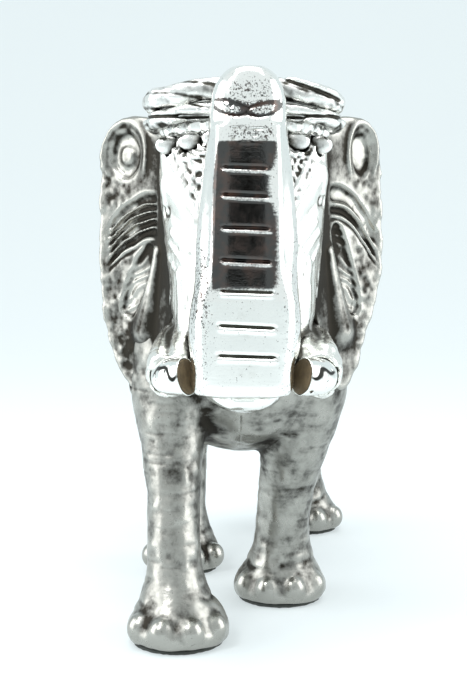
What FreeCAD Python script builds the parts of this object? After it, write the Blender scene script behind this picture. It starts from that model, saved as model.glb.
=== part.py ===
"""Walking elephant figure with a raised trunk, cast in separate pieces and glued on pegs.

Row frame: +Z up, the elephant looks along -Y, its left side is +X. The origin is the centre of
the footprint of the whole figure, on the surface that it stands on. Sizes are in millimetres.
Every casting is written as its own solid: hollow body halves, head, trunk, ears, tusks with
their cores, legs, tail, headdress and saddle cloth, with the pegs that join them.
The modelling frame has y = 0 at the toes of the front right foot and z = 0 a little above the
floor, where the ankles are measured from; the last step moves all pieces to the row frame.
"""
import FreeCAD
import Part
import math
import os

V = FreeCAD.Vector
LEFT, RIGHT = 1, -1                 # the elephant's left is +X

# --- driving dimensions -------------------------------------------------------------------
FLOOR_Z = -2.2                      # the surface that the figure stands on
PAD_T = 1.2                         # felt under each foot
SOLE_Z = FLOOR_Z + PAD_T
WALL = 3.0                          # wall of the hollow body
CLOTH_T = 1.3                       # cast cloth on the body and the forehead
BACK_Z = 92.0                       # height of the body's axis
HEAD_X = 0.8                        # the head is carried a little to the left
PEG_GAP = 0.05                      # glue gap round a peg

# body stations: y, height of the centre, half width, half height
BODY = [
    (14.0, 92.0, 8.0, 10.0),
    (18.0, 92.0, 18.0, 23.5),
    (26.0, 92.0, 27.5, 36.0),
    (40.0, 91.5, 33.0, 42.5),
    (60.0, 91.5, 36.0, 45.0),
    (86.0, 92.0, 38.0, 46.0),
    (112.0, 92.5, 37.0, 45.0),
    (134.0, 93.5, 33.0, 40.5),
    (149.0, 95.0, 25.5, 32.5),
    (157.0, 96.0, 16.0, 21.0),
    (160.5, 96.5, 7.0, 9.5),
]
# head stations: height, y of the centre, half width, half depth
HEAD = [
    (71.0, 11.0, 8.0, 9.0),
    (75.0, 9.5, 14.0, 15.0),
    (85.0, 9.5, 18.5, 18.0),
    (99.0, 10.5, 20.0, 18.5),
    (113.0, 11.5, 21.5, 18.5),
    (127.0, 12.5, 23.0, 18.0),
    (138.0, 13.5, 22.5, 17.5),
    (146.0, 14.5, 18.0, 14.0),
    (150.0, 15.0, 9.0, 7.5),
]
# neck stations: y, height of the centre, half width, half height
NECK = [
    (14.0, 113.0, 19.0, 27.0),
    (26.0, 110.0, 26.0, 30.0),
    (40.0, 106.0, 29.0, 30.0),
]
# trunk: the root runs forward and down into a bend, then the trunk rises in front of the face
BEND_Y, BEND_Z, BEND_R = -10.0, 96.0, 11.0
ROOT_LENGTH = 8.0
ROOT = (12.6, 11.0)                 # half width, half depth where it leaves the head
BEND_START, BEND = (13.2, 10.8), (14.2, 10.4)
# square base of the trunk: height, x of the middle, half width, y of its front and of its back
MUZZLE = [
    (74.6, 0.2, 11.6, -29.2, -10.0),
    (76.4, 0.2, 12.8, -30.5, -9.0),
    (80.0, 0.3, 13.1, -31.0, -8.0),
    (84.5, 0.4, 13.4, -31.0, -8.0),
    (89.5, 0.7, 14.2, -31.0, -8.0),
    (97.0, 1.1, 14.0, -31.0, -9.0),
    (106.0, 1.3, 13.2, -30.5, -12.0),
]
MUZZLE_CORNER = 4.2
# rising stations: height, x, y of the centre, half width, half depth
RISE = [
    (96.0, 1.2, -21.0, 13.7, 10.0),
    (109.0, 1.3, -20.6, 13.2, 9.6),
    (121.0, 1.5, -20.0, 12.4, 9.0),
    (133.0, 1.6, -19.2, 11.0, 8.4),
    (142.0, 1.6, -18.8, 10.0, 7.8),
    (149.0, 1.8, -18.6, 9.5, 7.4),
    (154.0, 1.9, -18.4, 7.8, 6.2),
    (157.4, 1.9, -18.3, 3.6, 3.0),
]

# leg stations: height, x and y of the centre, half width, half depth; x is outward positive
LEGS = {
    "front_right": (RIGHT, [
        (SOLE_Z, 18.0, 14.6, 13.8, 14.0), (2.3, 18.0, 14.5, 14.8, 14.9),
        (6.8, 18.0, 15.0, 13.0, 13.2), (13.0, 18.5, 16.2, 9.6, 10.4),
        (27.0, 19.2, 19.5, 7.8, 9.2), (40.0, 19.6, 23.0, 8.0, 10.0),
        (52.0, 20.0, 28.0, 9.2, 12.4), (68.0, 19.8, 33.0, 12.4, 16.0),
        (86.0, 19.2, 36.0, 13.4, 17.0), (98.0, 17.0, 37.0, 8.0, 11.0)]),
    "front_left": (LEFT, [
        (SOLE_Z, 12.8, 58.6, 13.8, 14.0), (2.3, 12.8, 58.5, 14.8, 14.9),
        (6.8, 12.9, 58.2, 13.0, 13.2), (13.0, 13.2, 57.2, 10.0, 10.6),
        (27.0, 14.0, 54.5, 8.6, 9.6), (40.0, 15.6, 50.5, 9.4, 10.6),
        (52.0, 17.4, 46.0, 11.2, 12.8), (68.0, 19.4, 41.0, 13.0, 16.0),
        (86.0, 19.2, 38.0, 13.4, 17.0), (98.0, 17.0, 37.0, 8.0, 11.0)]),
    "rear_right": (RIGHT, [
        (SOLE_Z, 19.4, 94.6, 12.6, 13.2), (2.3, 19.4, 94.5, 13.4, 14.0),
        (6.8, 19.5, 95.0, 11.8, 12.4), (13.0, 19.8, 96.6, 9.4, 10.4),
        (27.0, 20.2, 101.0, 8.6, 10.2), (40.0, 20.4, 106.5, 9.4, 11.8),
        (52.0, 20.4, 112.0, 11.2, 15.0), (68.0, 20.2, 118.0, 13.4, 19.0),
        (86.0, 19.4, 121.0, 14.0, 19.0), (100.0, 17.0, 122.0, 8.0, 12.0)]),
    "rear_left": (LEFT, [
        (SOLE_Z, 26.2, 152.1, 12.8, 13.4), (2.3, 26.2, 152.0, 13.6, 14.2),
        (6.8, 25.8, 151.6, 12.0, 12.6), (13.0, 24.8, 150.6, 9.6, 10.6),
        (27.0, 22.6, 146.5, 8.8, 10.2), (40.0, 21.6, 141.0, 9.6, 11.8),
        (52.0, 21.0, 135.0, 11.4, 15.0), (68.0, 20.4, 129.0, 13.4, 19.0),
        (86.0, 19.4, 125.0, 14.0, 19.0), (100.0, 17.0, 122.0, 8.0, 12.0)]),
}
LEG_PEG_Y = {"front_right": 30.0, "front_left": 44.0, "rear_right": 112.0, "rear_left": 134.0}
LEG_PEG_R, LEG_PEG_Z = 3.5, (46.0, 66.0)
NECK_PEG = (6.0, 109.0, 24.0, 6.0)  # start y, height, length, radius
TAIL_PEG = (150.0, 115.0, 11.0, 1.6)
TRUNK_PEG = (2.0, 13.0, 4.0)        # start along the root, length, radius

# ear: a curved blade, cut from a tall cylindrical shell; the outline is (outward, height)
EAR_ROOT_X, EAR_ROOT_Y = 19.5, 17.0
EAR_ANGLE = math.radians(41)        # how far the blade is swept back
EAR_T, EAR_CUP_R, EAR_MIDDLE = 2.6, 46.0, 14.0
EAR_OUTLINE = {
    RIGHT: [
        (-5.0, 140.0), (5.0, 146.6), (14.5, 148.2), (21.5, 146.6), (26.0, 140.0),
        (27.6, 126.0), (27.8, 107.0), (27.0, 92.0), (24.2, 80.5), (19.0, 71.5),
        (13.0, 68.0), (7.0, 72.5), (1.5, 82.0), (-4.0, 94.0), (-7.0, 116.0),
    ],
    LEFT: [
        (-5.0, 140.0), (5.0, 146.6), (14.0, 148.2), (20.6, 146.4), (24.8, 140.0),
        (26.3, 126.0), (26.8, 108.0), (23.8, 92.0), (19.6, 80.5), (15.4, 72.0),
        (11.0, 69.5), (6.5, 74.5), (1.5, 84.0), (-4.0, 95.0), (-7.0, 116.0),
    ],
}
EAR_PEG_R, EAR_PEG_LENGTH = 0.9, 9.0
EAR_PEG_Z = {"lower": 104.0, "upper": 126.0}

# tusks: a short bent horn whose cut end faces the trunk
TUSK_END = (14.5, -20.5, 79.0)      # centre of the cut face; x is outward positive
TUSK_BEND_R, TUSK_TURN = 10.5, 62.0
TUSK_R_END, TUSK_R_ROOT = 5.1, 4.6
TUSK_RISE = 12.0                    # the cut end looks up by this angle
TUSK_SKIN = 0.55
TUSK_SHANK = 9.0                    # straight stretch behind the bend
CORE_PEG_R, CORE_PEG_LENGTH = 2.6, 17.0
SHEATH_R, SHEATH_LENGTH = 6.3, 20.0

# headdress
CAP_Y = 13.0
ROLLS = {                           # height at the middle, half width, half depth, tube radius
    "upper": (153.6, 24.2, 16.2, 3.1),
    "lower": (148.6, 24.6, 17.0, 2.1),
}
ROLL_CORNER = 8.0                   # radius of a roll's corners, seen from above
ROLL_TILT = math.radians(12)        # how steeply its bowed front falls where a corner starts
PLATE_TOP_Z, PLATE_TIP_Z, PLATE_HALF = 145.5, 98.0, 24.5

# saddle cloth, tail
CLOTH_Y = (50.0, 120.0)
CLOTH_Z = 80.0
PLUG_Y, PLUG_R = 66.0, 8.0
TAIL = [                            # height, y, radius
    (122.0, 153.0, 4.2), (118.0, 158.5, 3.6), (108.0, 163.0, 2.9), (94.0, 165.2, 2.4),
    (80.0, 166.0, 2.1), (68.0, 166.2, 2.3), (58.0, 166.4, 3.6), (48.0, 166.6, 2.4),
    (43.0, 166.6, 0.8),
]


# --- helpers --------------------------------------------------------------------------------
def oval(centre, across, up, half_across, half_up):
    """Closed wire: an ellipse round centre, with its axes along across and up."""
    across, up = V(across).normalize(), V(up).normalize()
    if half_across >= half_up:
        major, minor, far, near, first = across, up, half_across, half_up, 0.0
    else:
        major, minor, far, near, first = up, across * -1, half_up, half_across, -math.pi / 2
    rim = Part.Ellipse(V(0, 0, 0), max(far, near + 1e-4), near)
    turn = FreeCAD.Rotation(major, minor, major.cross(minor), "XYZ")
    edge = rim.toShape(first, first + 2 * math.pi)      # every seam starts on the across side
    edge.Placement = FreeCAD.Placement(centre, turn)
    return Part.Wire([edge])


def loft(wires):
    return Part.makeLoft(wires, True, False)


def biggest(shape):
    """The largest solid of a boolean's result, without its slivers."""
    return max(shape.Solids, key=lambda s: s.Volume)


def rod(start, direction, length, radius):
    return Part.makeCylinder(radius, length, start, direction)


def squared(height, low, high, corner):
    """Closed level wire: a rectangle between two (x, y) corners, with rounded corners."""
    wires = Part.makePlane(high[0] - low[0], high[1] - low[1], V(low[0], low[1], height))
    turned = wires.extrude(V(0, 0, 1))
    upright = [e for e in turned.Edges if abs(e.tangentAt(e.FirstParameter).z) > 0.9]
    rounded = turned.makeFillet(corner, upright)
    return min(rounded.Faces, key=lambda f: f.CenterOfMass.z).OuterWire


def slab(low, high):
    """An upright box between two corners."""
    return Part.makeBox(high[0] - low[0], high[1] - low[1], high[2] - low[2], V(*low))


def prism(points, along):
    """Closed outline of straight runs, pushed along a vector."""
    wire = Part.makePolygon(points + [points[0]])
    return Part.Face(wire).extrude(along)


# --- body -----------------------------------------------------------------------------------
def body_form(grow):
    """The outer form of the body, or one that is larger by grow all round."""
    X, Z = V(1, 0, 0), V(0, 0, 1)
    wires = []
    for i, (y, z, half_x, half_z) in enumerate(BODY):
        end = {0: -1, len(BODY) - 1: 1}.get(i, 0)
        wires.append(oval(V(0, y + end * grow, z), X, Z, half_x + grow, half_z + grow))
    return loft(wires)


def body_shells(outer, pegs):
    """Two hollow halves with a plug hole in the belly, and the plug."""
    wall = outer.cut(body_form(-WALL))
    belly = rod(V(0, PLUG_Y, 0), V(0, 0, 1), BACK_Z, PLUG_R)
    plug = biggest(wall.common(rod(V(0, PLUG_Y, 0), V(0, 0, 1), BACK_Z, PLUG_R - PEG_GAP)))
    wall = wall.cut(belly)
    for peg in pegs:
        wall = wall.cut(peg)
    right = biggest(wall.common(slab((-60, -20, 0), (0, 200, 200))))
    left = biggest(wall.common(slab((0, -20, 0), (60, 200, 200))))
    return right, left, plug


# --- head, trunk, jaw -----------------------------------------------------------------------
def head_form(grow):
    X, Y = V(1, 0, 0), V(0, 1, 0)
    wires = []
    for i, (z, y, half_x, half_y) in enumerate(HEAD):
        end = {0: -1, len(HEAD) - 1: 1}.get(i, 0)
        wires.append(oval(V(HEAD_X, y, z + end * grow), X, Y, half_x + grow, half_y + grow))
    return loft(wires)


def neck_form():
    X, Z = V(1, 0, 0), V(0, 0, 1)
    return loft([oval(V(HEAD_X, y, z), X, Z, a, b) for y, z, a, b in NECK])


def trunk_form():
    X = V(1, 0, 0)
    wires = []
    start = math.radians(-45)
    for back in (ROOT_LENGTH, ROOT_LENGTH / 2, 0.0):         # the straight root
        y = BEND_Y + BEND_R * math.cos(start) + back * math.sqrt(0.5)
        z = BEND_Z + BEND_R * math.sin(start) + back * math.sqrt(0.5)
        wires.append(oval(V(HEAD_X, y, z), X, V(0, 1, -1), *ROOT))
    for degrees in (-66, -90, -112, -134, -156):            # round the bend
        a = math.radians(degrees)
        out = V(0, math.cos(a), math.sin(a))
        centre = V(1.0, BEND_Y, BEND_Z) + out * BEND_R
        wires.append(oval(centre, X, out, *(BEND if degrees < -80 else BEND_START)))
    for z, x, y, half_x, half_y in RISE:
        wires.append(oval(V(x, y, z), X, V(0, -1, 0), half_x, half_y))
    muzzle = loft([squared(z, (x - half, front), (x + half, back), MUZZLE_CORNER)
                   for z, x, half, front, back in MUZZLE])
    return loft(wires).fuse(muzzle)


def lower_lip():
    """The pointed lower jaw under the root of the trunk."""
    X, Z = V(1, 0, 0), V(0, 0, 1)
    rows = [(16.0, 74.0, 12.5, 7.5), (4.0, 73.0, 11.5, 6.4), (-6.0, 72.0, 9.0, 4.6),
            (-13.0, 71.6, 5.0, 2.8), (-15.5, 71.6, 1.6, 1.0)]
    return loft([oval(V(HEAD_X, y, z), X, Z, a, b) for y, z, a, b in rows])


# --- tusks ----------------------------------------------------------------------------------
def tusk_form(side, shrink):
    """The bent horn, thinner by shrink all round."""
    turn, rise = math.radians(TUSK_TURN), math.radians(TUSK_RISE)
    wires = []
    steps = 5
    for i in range(steps):
        angle = turn * (1 - i / (steps - 1))
        share = i / (steps - 1)
        facing = V(-side * math.sin(angle), -math.cos(angle), math.sin(rise) * (1 - share))
        x = TUSK_END[0] + TUSK_BEND_R * (math.cos(angle) - math.cos(turn))
        y = TUSK_END[1] + TUSK_BEND_R * (math.sin(turn) - math.sin(angle))
        z = TUSK_END[2] - 1.0 * share
        radius = TUSK_R_END + (TUSK_R_ROOT - TUSK_R_END) * share - shrink
        wires.append(ring(V(side * x + HEAD_X, y, z), facing, radius))
    last_y = TUSK_END[1] + TUSK_BEND_R * math.sin(turn)
    last_x = TUSK_END[0] + TUSK_BEND_R * (1 - math.cos(turn))
    for back in (TUSK_SHANK * 0.5, TUSK_SHANK):
        wires.append(ring(V(side * last_x + HEAD_X, last_y + back, TUSK_END[2] - 1.0),
                          V(0, -1, 0), TUSK_R_ROOT - shrink))
    return loft(wires), V(side * last_x + HEAD_X, last_y + TUSK_SHANK, TUSK_END[2] - 1.0)


def ring(centre, facing, radius):
    facing = V(facing).normalize()
    across = V(0, 0, 1).cross(facing).normalize()
    return oval(centre, across, facing.cross(across), radius, radius)


def sheath(side):
    """The fold of the cheek that carries a tusk."""
    _, root = tusk_form(side, 0)
    X, Z = V(1, 0, 0), V(0, 0, 1)
    rows = [(-5.5, 0.72, 0), (-2.0, 0.95, 0), (6.0, 1.1, -1.0), (14.0, 1.25, -3.0),
            (SHEATH_LENGTH + 4, 1.1, -5.0)]
    return loft([oval(root + V(side * dx, dy - 6, 1.0 + 0.12 * dy), X, Z,
                      SHEATH_R * s, SHEATH_R * s * 1.15) for dy, s, dx in rows])


# --- ears -----------------------------------------------------------------------------------
def ear_form(side):
    curve = Part.BSplineCurve()
    curve.interpolate([V(s, 0, z) for s, z in EAR_OUTLINE[side]], PeriodicFlag=True)
    blade = Part.Face(Part.Wire([curve.toShape()])).extrude(V(0, 40, 0))
    blade.translate(V(0, -20, 0))
    axis = V(EAR_MIDDLE, -EAR_CUP_R, 0)
    outside = rod(axis, V(0, 0, 1), 200, EAR_CUP_R + EAR_T / 2)
    cup = outside.cut(rod(axis, V(0, 0, 1), 200, EAR_CUP_R - EAR_T / 2))
    ear = biggest(blade.common(cup))
    ear.rotate(V(0, 0, 0), V(0, 0, 1), math.degrees(EAR_ANGLE))
    ear.translate(V(EAR_ROOT_X, EAR_ROOT_Y, 0))
    if side == RIGHT:
        ear = ear.mirror(V(0, 0, 0), V(1, 0, 0))
    ear.translate(V(HEAD_X, 0, 0))
    return ear


def ear_peg(side, z, radius):
    """A pin that runs from the cheek into the root of the ear, along the blade."""
    bend = math.asin(EAR_MIDDLE / EAR_CUP_R)
    forward = EAR_CUP_R * (math.cos(bend) - 1)
    x = EAR_ROOT_X - forward * math.sin(EAR_ANGLE)
    y = EAR_ROOT_Y + forward * math.cos(EAR_ANGLE)
    along = V(side * math.cos(EAR_ANGLE + bend), math.sin(EAR_ANGLE + bend), 0)
    middle = V(HEAD_X + side * x, y, z)
    return rod(middle - along * (EAR_PEG_LENGTH * 0.6), along, EAR_PEG_LENGTH, radius)


# --- headdress ------------------------------------------------------------------------------
def roll(z, half_x, half_y, radius):
    """A tube laid round the crown: bowed front and back, round corners, straight sides."""
    c, t = math.cos(ROLL_TILT), math.sin(ROLL_TILT)
    bow_r = (half_x - ROLL_CORNER * c) / t
    run_x, run_z = bow_r * t, z - bow_r * (1 - c)
    edges, far_y = [], half_y - ROLL_CORNER
    for end in (-1, 1):                 # front and back
        y = end * half_y
        bow = [V(-run_x, y, run_z), V(0, y, z), V(run_x, y, run_z)]
        edges.append(Part.Arc(*bow).toShape())
        for side in (RIGHT, LEFT):
            out, back = V(side * c, 0, -t) * ROLL_CORNER, V(0, -end, 0) * ROLL_CORNER
            start = bow[0] if side == RIGHT else bow[2]
            middle = start + out * math.sqrt(0.5) + back * (1 - math.sqrt(0.5))
            edges.append(Part.Arc(start, middle, start + out + back).toShape())
    for side in (RIGHT, LEFT):
        low = run_z - ROLL_CORNER * t
        edges.append(Part.makeLine(V(side * half_x, -far_y, low), V(side * half_x, far_y, low)))
    path = Part.Wire(Part.__sortEdges__(edges))
    path.translate(V(HEAD_X, CAP_Y, 0))
    first = path.OrderedEdges[0]
    start, along = first.valueAt(first.FirstParameter), first.tangentAt(first.FirstParameter)
    section = Part.Wire([Part.Circle(start, along, radius).toShape()])
    return path.makePipeShell([section], True, False)


def cap():
    """The padded crown inside the upper roll."""
    X, Y = V(1, 0, 0), V(0, 1, 0)
    rows = [(142.0, 22.8, 16.6), (146.0, 23.4, 16.8), (150.0, 22.4, 15.2), (153.6, 18.5, 12.6),
            (156.2, 9.0, 6.5)]
    return loft([oval(V(HEAD_X, CAP_Y, z), X, Y, a, b) for z, a, b in rows])


def forehead_plate(core):
    """The pointed cloth on the forehead, as thick as CLOTH_T."""
    outline = [V(HEAD_X - PLATE_HALF, -30, PLATE_TOP_Z - 3), V(HEAD_X, -30, PLATE_TOP_Z),
               V(HEAD_X + PLATE_HALF, -30, PLATE_TOP_Z - 3), V(HEAD_X, -30, PLATE_TIP_Z)]
    return biggest(head_form(CLOTH_T).cut(core).common(prism(outline, V(0, 38, 0))))


# --- saddle cloth, tail -----------------------------------------------------------------------
def saddle_cloth(outer):
    band = body_form(CLOTH_T).cut(outer)
    return biggest(band.common(slab((-60, CLOTH_Y[0], CLOTH_Z), (60, CLOTH_Y[1], 200))))


def tail_form():
    return loft([oval(V(0, y, z), V(1, 0, 0), V(0, 1, 0), r, r * 0.99) for z, y, r in TAIL])


# --- assembly -------------------------------------------------------------------------------
def peg_and_hole(start, direction, length, radius):
    """A peg, and the slightly wider hole that it is glued into."""
    return rod(start, direction, length, radius), rod(start, direction, length, radius + PEG_GAP)


def build_body(outer):
    """Hollow body with its plug, cloth, tail, legs and felt, and the pegs between them."""
    made, holes = {}, []
    for name, (side, rows) in LEGS.items():
        x = [r[1] for r in rows if r[0] >= 52][0]
        peg, hole = peg_and_hole(V(side * x, LEG_PEG_Y[name], LEG_PEG_Z[0]), V(0, 0, 1),
                                 LEG_PEG_Z[1] - LEG_PEG_Z[0], LEG_PEG_R)
        made["leg_peg_" + name] = peg
        holes.append(hole)
    y, z, length, radius = NECK_PEG
    neck_peg, neck_hole = peg_and_hole(V(HEAD_X, y, z), V(0, 1, 0), length, radius)
    y, z, length, radius = TAIL_PEG
    tail_peg, tail_hole = peg_and_hole(V(0, y, z), V(0, 1, 0.1), length, radius)
    made["neck_peg"], made["tail_peg"] = neck_peg, tail_peg
    holes += [neck_hole, tail_hole]

    right, left, plug = body_shells(outer, holes)
    made["body_shell_right"], made["body_shell_left"], made["belly_plug"] = right, left, plug
    cloth = saddle_cloth(outer)
    made["saddle_cloth"] = cloth
    made["tail"] = biggest(tail_form().cut(outer).cut(tail_hole))

    for i, (name, (side, rows)) in enumerate(LEGS.items()):
        wires = [oval(V(side * x, y, z), V(1, 0, 0), V(0, 1, 0), a, b) for z, x, y, a, b in rows]
        made["leg_" + name] = biggest(loft(wires).cut(outer).cut(cloth).cut(holes[i]))
        z, x, y, a, b = rows[0]
        pad = Part.Face(oval(V(side * x, y, FLOOR_Z), V(1, 0, 0), V(0, 1, 0), a - 0.6, b - 0.6))
        made["felt_pad_" + name] = pad.extrude(V(0, 0, PAD_T))
    return made, neck_hole


def build_head(outer, neck_hole):
    """Head with its trunk, lip, tusks, ears and headdress."""
    made = {}
    core, form = head_form(0), trunk_form()
    along = V(0, 1, 1).normalize()
    root = V(HEAD_X, BEND_Y + BEND_R * math.sqrt(0.5), BEND_Z - BEND_R * math.sqrt(0.5))
    from_root, length, radius = TRUNK_PEG
    trunk_peg, trunk_hole = peg_and_hole(root + along * from_root, along, length, radius)
    lip = biggest(lower_lip().cut(form).cut(outer))
    made["lower_lip"], made["trunk_peg"] = lip, trunk_peg
    made["trunk"] = biggest(form.cut(trunk_hole).cut(outer))

    crown = cap()
    rolls = {"upper": roll(*ROLLS["upper"]).cut(crown)}
    rolls["lower"] = roll(*ROLLS["lower"]).cut(crown).cut(rolls["upper"])
    head = core.fuse(neck_form()).fuse(sheath(RIGHT)).fuse(sheath(LEFT)).cut(outer)
    head = head.cut(form).cut(lip).cut(trunk_hole).cut(neck_hole)
    solid_head = head

    for side, name in ((RIGHT, "right"), (LEFT, "left")):
        horn, root = tusk_form(side, 0)
        peg = rod(root - V(0, 1.0, 0), V(0, 1, 0), CORE_PEG_LENGTH, CORE_PEG_R)
        hole = rod(root - V(0, 1.0, 0), V(0, 1, 0), CORE_PEG_LENGTH + 0.05, CORE_PEG_R + PEG_GAP)
        inner = tusk_form(side, TUSK_SKIN)[0].fuse(peg).removeSplitter()
        made["tusk_" + name] = biggest(horn.cut(inner).cut(form))
        made["tusk_core_" + name] = biggest(inner.cut(form))
        head = head.cut(horn).cut(hole)
        ear = biggest(ear_form(side).cut(solid_head).cut(outer))
        for level, z in EAR_PEG_Z.items():
            made["ear_peg_%s_%s" % (name, level)] = ear_peg(side, z, EAR_PEG_R)
            hole = ear_peg(side, z, EAR_PEG_R + PEG_GAP)
            ear, head = ear.cut(hole), head.cut(hole)
        for solid in [crown] + list(rolls.values()):
            ear = ear.cut(solid)
        made["ear_" + name] = biggest(ear)
    made["head"] = biggest(head)

    made["headdress_cap"] = biggest(crown.cut(head))
    made["forehead_plate"] = biggest(forehead_plate(core).cut(crown).cut(form)
                                     .cut(rolls["upper"]).cut(rolls["lower"]))
    for name, solid in rolls.items():
        made["headdress_roll_" + name] = biggest(solid.cut(head))
    return made


def main():
    os.makedirs("parts", exist_ok=True)
    outer = body_form(0)
    made, neck_hole = build_body(outer)
    made.update(build_head(outer, neck_hole))
    for name in ("right", "left"):      # the ears lie against the shoulders
        leg = made["leg_front_" + name].cut(made["ear_" + name])
        made["leg_front_" + name] = biggest(leg)
    box = Part.makeCompound(list(made.values())).optimalBoundingBox(False)
    shift = V(-(box.XMin + box.XMax) / 2, -(box.YMin + box.YMax) / 2, -box.ZMin)
    for name, shape in made.items():
        shape = shape.copy()
        shape.translate(shift)
        shape.exportStep(os.path.join("parts", name + ".step"))


main()
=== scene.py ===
"""Antique silver elephant figure: each casting is sculpted as a distance field round its CAD piece,
meshed, and given a silver finish with dark patina in its hollows. Fields are in millimetres."""
import math
import bpy
import numpy as np
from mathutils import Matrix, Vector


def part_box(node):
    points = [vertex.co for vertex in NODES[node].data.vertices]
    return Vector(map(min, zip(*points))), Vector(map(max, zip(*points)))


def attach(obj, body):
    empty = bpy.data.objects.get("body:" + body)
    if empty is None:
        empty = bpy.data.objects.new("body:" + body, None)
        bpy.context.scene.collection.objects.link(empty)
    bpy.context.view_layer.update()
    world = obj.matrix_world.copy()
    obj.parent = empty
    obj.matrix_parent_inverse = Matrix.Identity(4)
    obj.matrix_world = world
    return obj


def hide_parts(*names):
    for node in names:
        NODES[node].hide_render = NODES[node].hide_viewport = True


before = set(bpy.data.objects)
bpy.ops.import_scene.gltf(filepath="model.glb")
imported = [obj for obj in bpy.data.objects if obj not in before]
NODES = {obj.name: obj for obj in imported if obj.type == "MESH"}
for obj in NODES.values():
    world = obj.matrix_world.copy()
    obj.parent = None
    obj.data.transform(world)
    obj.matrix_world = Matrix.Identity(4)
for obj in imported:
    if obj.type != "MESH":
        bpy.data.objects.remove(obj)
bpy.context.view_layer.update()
import openvdb as vdb
from mathutils import Vector

MM = 0.001
BAND = 4.0                      # distances are exact up to this far from a surface


def box_mm(node):
    low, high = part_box(node)
    return np.array(low) / MM, np.array(high) / MM


# places that several pieces share
TRUNK_LOW, TRUNK_HIGH = box_mm("trunk")
HEAD_LOW, HEAD_HIGH = box_mm("head")
ROLL_LOW, ROLL_HIGH = box_mm("headdress_roll_upper")
TRUNK_TOP = TRUNK_HIGH[2]
HEAD_X = (ROLL_LOW[0] + ROLL_HIGH[0]) / 2
PLATE_LOW, PLATE_HIGH = box_mm("forehead_plate")
FACE_BACK = (HEAD_LOW[1] + HEAD_HIGH[1]) / 2
CROWN_Y = (ROLL_LOW[1] + ROLL_HIGH[1]) / 2
TOES_Y = box_mm("felt_pad_front_right")[0][1] - 1.2


# --- distance fields ------------------------------------------------------------------------
def smooth_step(low, high, v):
    t = np.clip((v - low) / (high - low), 0, 1)
    return t * t * (3 - 2 * t)


def smooth_min(a, b, k):
    mix = np.clip(k - np.abs(a - b), 0, None) / np.maximum(k, 1e-6)
    return np.minimum(a, b) - mix * mix * k * 0.25


def smooth_max(a, b, k):
    return -smooth_min(-a, -b, k)


def scatter(bases, counts, seed):
    """Random values from -1 to 1 on a lattice, the same for a cell wherever the lattice starts."""
    number = np.full((1, 1, 1), seed * 7919 + 17, np.uint64)
    for k, odd in enumerate((73856093, 19349663, 83492791)):
        shape = [1, 1, 1]
        shape[k] = counts[k]
        cells = (np.arange(counts[k]) + bases[k] + 100000).astype(np.uint64).reshape(shape)
        number = (number ^ (cells * np.uint64(odd))) * np.uint64(2654435761) & np.uint64(0xFFFFFFFF)
        number = number ^ (number >> np.uint64(15))
    return (number.astype(np.float32) / 2147483648.0 - 1).astype(np.float32)


class Grid:
    """A box of points, in millimetres, that fields are worked out on."""

    def __init__(self, low, high, step, margin=3.0):
        self.step = step
        self.first = np.floor((np.array(low) - margin) / step).astype(int)
        count = np.ceil((np.array(high) + margin) / step).astype(int) - self.first + 1
        axes = [((self.first[k] + np.arange(count[k])) * step).astype(np.float32) for k in range(3)]
        self.shape = tuple(int(c) for c in count)
        self.axes = axes
        self.x, self.y, self.z = axes[0][:, None, None], axes[1][None, :, None], axes[2]

    def distance(self, node):
        """Signed distance to a CAD piece, negative inside it."""
        mesh = NODES[node].data
        mesh.calc_loop_triangles()
        points = np.empty(len(mesh.vertices) * 3, np.float32)
        mesh.vertices.foreach_get("co", points)
        faces = np.empty(len(mesh.loop_triangles) * 3, np.int32)
        mesh.loop_triangles.foreach_get("vertices", faces)
        level = vdb.FloatGrid.createLevelSetFromPolygons(
            points.reshape(-1, 3) / MM, triangles=faces.reshape(-1, 3).astype(np.uint32),
            transform=vdb.createLinearTransform(voxelSize=self.step),
            halfWidth=BAND / self.step)
        out = np.empty(self.shape, np.float32)
        level.copyToArray(out, ijk=tuple(int(v) for v in self.first))
        return out

    def ball(self, centre, radii):
        """Distance to an ellipsoid, near enough for modelling."""
        a = ((self.x - centre[0]) / radii[0]) ** 2 + ((self.y - centre[1]) / radii[1]) ** 2
        return (np.sqrt(a + ((self.z - centre[2]) / radii[2]) ** 2) - 1) * min(radii)

    def noise(self, size, seed, stretch=(1, 1, 1)):
        """Smooth random values from -1 to 1, with lumps about size across."""
        weights, counts, bases = [], [], []
        for k in range(3):
            at = self.axes[k] / (size * stretch[k])
            base = math.floor(at[0])
            cell = np.floor(at).astype(int)
            part = at - cell
            part = part * part * (3 - 2 * part)
            w = np.zeros((len(at), cell[-1] - base + 2), np.float32)
            rows = np.arange(len(at))
            w[rows, cell - base] = 1 - part
            w[rows, cell - base + 1] = part
            weights.append(w)
            counts.append(w.shape[1])
            bases.append(base)
        lattice = scatter(bases, counts, seed)
        value = np.tensordot(weights[0], lattice, (1, 0))
        value = np.tensordot(value, weights[1], (1, 1)).transpose(0, 2, 1)
        return np.tensordot(value, weights[2], (2, 1))

    def sample(self, values, points):
        at = points / self.step - self.first
        cell = np.clip(np.floor(at).astype(int), 0, np.array(self.shape) - 2)
        part = at - cell
        out = np.zeros(len(points), np.float32)
        for corner in range(8):
            bits = [(corner >> k) & 1 for k in range(3)]
            weight = np.ones(len(points))
            for k in range(3):
                weight = weight * (part[:, k] if bits[k] else 1 - part[:, k])
            i, j, m = (cell[:, k] + bits[k] for k in range(3))
            out += values[i, j, m] * weight
        return out


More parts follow.
